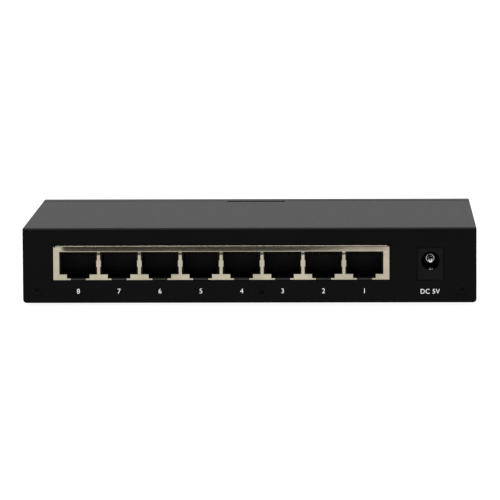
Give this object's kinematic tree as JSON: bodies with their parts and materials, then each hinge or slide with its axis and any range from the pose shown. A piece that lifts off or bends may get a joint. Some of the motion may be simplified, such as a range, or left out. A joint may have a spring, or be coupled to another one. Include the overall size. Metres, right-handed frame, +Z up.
{
  "type": "desktop network switch",
  "caption": "Desktop network switch: folded steel case with a shielded row of network sockets, a power jack, a circuit board inside and a moulded indicator bezel.",
  "frame": {"origin": "on the surface that the feet stand on, below the middle of the case", "axes": "+X to the right of somebody looking at the sockets, -Y out of the sockets, +Y out of the indicator bezel, +Z up"},
  "size_m": [0.155, 0.1, 0.027],
  "materials": {
    "case_paint": "black powder coat with a fine texture",
    "screw_black": "black oxide",
    "foot_rubber": "matt",
    "bezel_plastic": "moulded, satin gloss",
    "clear_plastic": "clear moulding",
    "board_laminate": "green solder mask over glass-fibre laminate",
    "screw_steel": "bright zinc",
    "chip_resin": "moulded resin",
    "thermal_pad": "soft pad",
    "sink_aluminium": "extruded, satin",
    "can_aluminium": "drawn can",
    "can_nickel": "nickel plate",
    "led_lens": "clear lens",
    "socket_plastic": "black moulding",
    "shield_tin": "tin plate",
    "contact_gold": "gold flash"
  },
  "bodies": {
    "base": {"base_tray": "case_paint", "foot_rear_left": "foot_rubber", "foot_rear_right": "foot_rubber", "foot_front_left": "foot_rubber", "foot_front_right": "foot_rubber", "front_bezel": "bezel_plastic", "light_pipe": "clear_plastic", "main_board": "board_laminate", "board_screw_1": "screw_steel", "board_screw_2": "screw_steel", "board_screw_3": "screw_steel", "board_screw_4": "screw_steel", "line_transformer_1": "chip_resin", "line_transformer_2": "chip_resin", "line_transformer_3": "chip_resin", "line_transformer_4": "chip_resin", "switch_chip": "chip_resin", "flash_chip": "chip_resin", "voltage_regulator_1": "chip_resin", "voltage_regulator_2": "chip_resin", "power_inductor": "chip_resin", "thermal_pad": "thermal_pad", "heat_sink": "sink_aluminium", "input_capacitor": "can_aluminium", "output_capacitor": "can_aluminium", "crystal": "can_nickel", "led_power": "led_lens", "led_port_1": "led_lens", "led_port_2": "led_lens", "led_port_3": "led_lens", "led_port_4": "led_lens", "led_port_5": "led_lens", "led_port_6": "led_lens", "led_port_7": "led_lens", "led_port_8": "led_lens", "port_housing": "socket_plastic", "dc_jack_housing": "socket_plastic", "port_shield": "shield_tin", "dc_jack_pin": "can_nickel"},
    "cover": {"top_cover": "case_paint"},
    "screw_left": {"cover_screw_left": "screw_black"},
    "screw_middle": {"cover_screw_middle": "screw_black"},
    "screw_right": {"cover_screw_right": "screw_black"},
    "contacts_1": {"port_contacts_1": "contact_gold"},
    "contacts_2": {"port_contacts_2": "contact_gold"},
    "contacts_3": {"port_contacts_3": "contact_gold"},
    "contacts_4": {"port_contacts_4": "contact_gold"},
    "contacts_5": {"port_contacts_5": "contact_gold"},
    "contacts_6": {"port_contacts_6": "contact_gold"},
    "contacts_7": {"port_contacts_7": "contact_gold"},
    "contacts_8": {"port_contacts_8": "contact_gold"},
    "jack_leaf": {"dc_jack_spring": "can_nickel"}
  },
  "joints": [
    {"name": "cover_slide", "type": "slide", "parent": "base", "child": "cover", "axis": [0, -1, 0], "range_m": [0, 0.11]},
    {"name": "screw_left_withdraw", "type": "slide", "parent": "cover", "child": "screw_left", "axis": [0, -1, 0], "range_m": [0, 0.008]},
    {"name": "screw_middle_withdraw", "type": "slide", "parent": "cover", "child": "screw_middle", "axis": [0, -1, 0], "range_m": [0, 0.008]},
    {"name": "screw_right_withdraw", "type": "slide", "parent": "cover", "child": "screw_right", "axis": [0, -1, 0], "range_m": [0, 0.008]},
    {"name": "contacts_1_flex", "type": "hinge", "parent": "base", "child": "contacts_1", "pos_m": [0.03927, -0.0482, 0.0193], "axis": [1, 0, 0], "range_deg": [0, 10], "stiffness_Nm_per_rad": 0.3},
    {"name": "contacts_2_flex", "type": "hinge", "parent": "base", "child": "contacts_2", "pos_m": [0.0253, -0.0482, 0.0193], "axis": [1, 0, 0], "range_deg": [0, 10], "stiffness_Nm_per_rad": 0.3},
    {"name": "contacts_3_flex", "type": "hinge", "parent": "base", "child": "contacts_3", "pos_m": [0.01132, -0.0482, 0.0193], "axis": [1, 0, 0], "range_deg": [0, 10], "stiffness_Nm_per_rad": 0.3},
    {"name": "contacts_4_flex", "type": "hinge", "parent": "base", "child": "contacts_4", "pos_m": [-0.00265, -0.0482, 0.0193], "axis": [1, 0, 0], "range_deg": [0, 10], "stiffness_Nm_per_rad": 0.3},
    {"name": "contacts_5_flex", "type": "hinge", "parent": "base", "child": "contacts_5", "pos_m": [-0.01662, -0.0482, 0.0193], "axis": [1, 0, 0], "range_deg": [0, 10], "stiffness_Nm_per_rad": 0.3},
    {"name": "contacts_6_flex", "type": "hinge", "parent": "base", "child": "contacts_6", "pos_m": [-0.03059, -0.0482, 0.0193], "axis": [1, 0, 0], "range_deg": [0, 10], "stiffness_Nm_per_rad": 0.3},
    {"name": "contacts_7_flex", "type": "hinge", "parent": "base", "child": "contacts_7", "pos_m": [-0.04455, -0.0482, 0.0193], "axis": [1, 0, 0], "range_deg": [0, 10], "stiffness_Nm_per_rad": 0.3},
    {"name": "contacts_8_flex", "type": "hinge", "parent": "base", "child": "contacts_8", "pos_m": [-0.05853, -0.0482, 0.0193], "axis": [1, 0, 0], "range_deg": [0, 10], "stiffness_Nm_per_rad": 0.3},
    {"name": "jack_leaf_flex", "type": "hinge", "parent": "base", "child": "jack_leaf", "pos_m": [0.0618, -0.0371, 0.012], "axis": [1, 0, 0], "range_deg": [0, 4], "stiffness_Nm_per_rad": 0.6}
  ]
}
